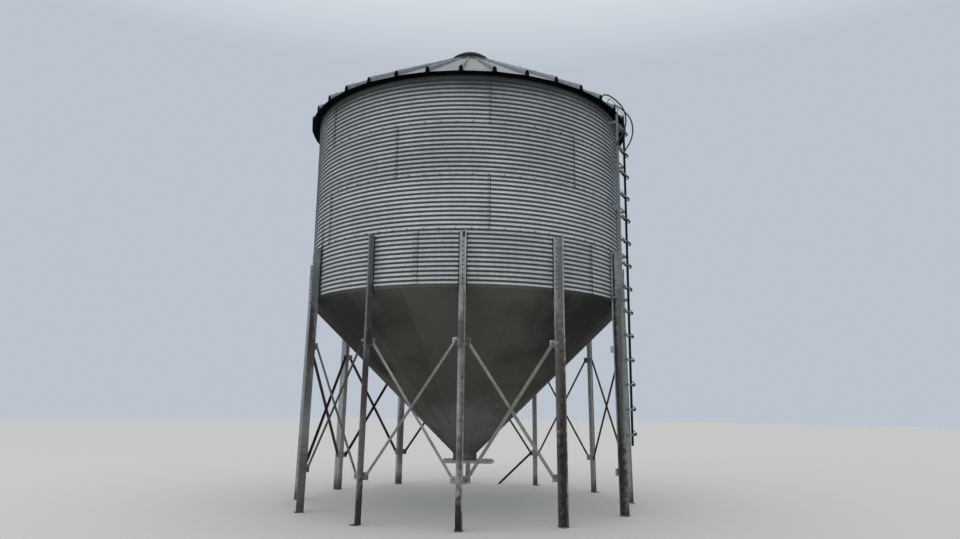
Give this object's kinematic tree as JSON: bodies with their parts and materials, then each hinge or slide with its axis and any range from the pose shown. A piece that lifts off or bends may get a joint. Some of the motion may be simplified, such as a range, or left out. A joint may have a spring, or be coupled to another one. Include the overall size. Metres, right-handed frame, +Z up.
{
  "type": "hopper-bottomed grain silo",
  "caption": "Free-standing steel grain silo: corrugated round bin with a ribbed cone roof, a cone hopper on braced angle legs, an outside ladder and a slide gate at the outlet.",
  "frame": {"origin": "on the bin's axis at the level of the feet", "axes": "+Z up along the bin's axis, -Y through the front leg, the ladder about 64 degrees round from it towards +X"},
  "size_m": [5.8446, 5.8446, 8.2723],
  "materials": {
    "wall": "weathered galvanised sheet",
    "leg": "weathered galvanised angle with rust and grime near the ground",
    "brace": "weathered galvanised angle bar",
    "hopper": "dull grey smooth sheet",
    "outlet": "dull galvanised plate",
    "roof": "weathered galvanised sheet",
    "trim": "dark stained galvanised angle",
    "ladder": "dull galvanised section"
  },
  "bodies": {
    "silo": {"wall_ring_bottom": "wall", "wall_ring_lower": "wall", "wall_ring_upper": "wall", "wall_ring_top": "wall", "leg_01": "leg", "leg_02": "leg", "leg_03": "leg", "leg_04": "leg", "leg_05": "leg", "leg_06": "leg", "leg_07": "leg", "leg_08": "leg", "leg_09": "leg", "leg_10": "leg", "leg_11": "leg", "leg_12": "leg", "cross_brace_01": "brace", "cross_brace_03": "brace", "cross_brace_04": "brace", "cross_brace_05": "brace", "cross_brace_06": "brace", "cross_brace_07": "brace", "cross_brace_08": "brace", "cross_brace_09": "brace", "cross_brace_10": "brace", "cross_brace_11": "brace", "cross_brace_12": "brace", "hopper_cone": "hopper", "hopper_base_ring": "wall", "outlet_collar": "hopper", "gate_frame": "outlet", "roof": "roof", "eave_ring": "trim", "peak_collar": "roof", "peak_lid": "roof", "ladder": "ladder", "ground_strut": "brace", "ladder_bracket_1": "ladder", "ladder_bracket_2": "ladder", "ladder_bracket_3": "ladder", "ladder_bracket_4": "ladder", "ladder_bracket_5": "ladder", "grab_rail_left": "ladder", "grab_rail_right": "ladder"},
    "gate_plate": {"slide_gate": "outlet"}
  },
  "joints": [
    {"name": "gate_slide", "type": "slide", "parent": "silo", "child": "gate_plate", "axis": [1, 0, 0], "range_m": [0, 0.415]}
  ]
}
